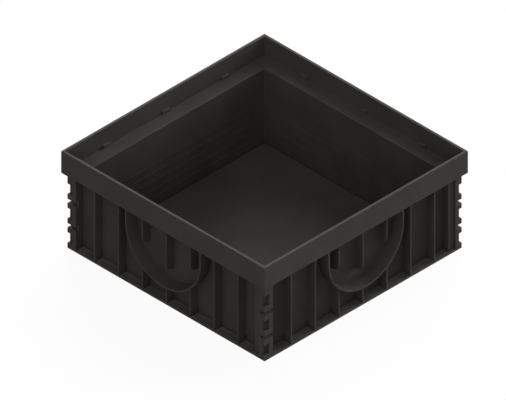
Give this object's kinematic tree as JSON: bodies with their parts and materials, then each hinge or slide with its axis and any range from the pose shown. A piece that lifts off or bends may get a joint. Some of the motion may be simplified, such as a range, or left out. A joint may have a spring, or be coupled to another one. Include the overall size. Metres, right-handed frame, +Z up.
{
  "type": "surface water gully",
  "caption": "Square plastic gully body with a deep rim and grate seat over a closed chamber, ribbed sides with half-pipe collars, and keyed corner posts.",
  "frame": {"origin": "middle of the underside", "axes": "+Z up through the open top, X and Y square to the sides"},
  "size_m": [0.3, 0.3, 0.1234],
  "materials": {
    "plastic": "matte moulded"
  },
  "bodies": {
    "root": {"gully_body": "plastic"}
  },
  "joints": []
}
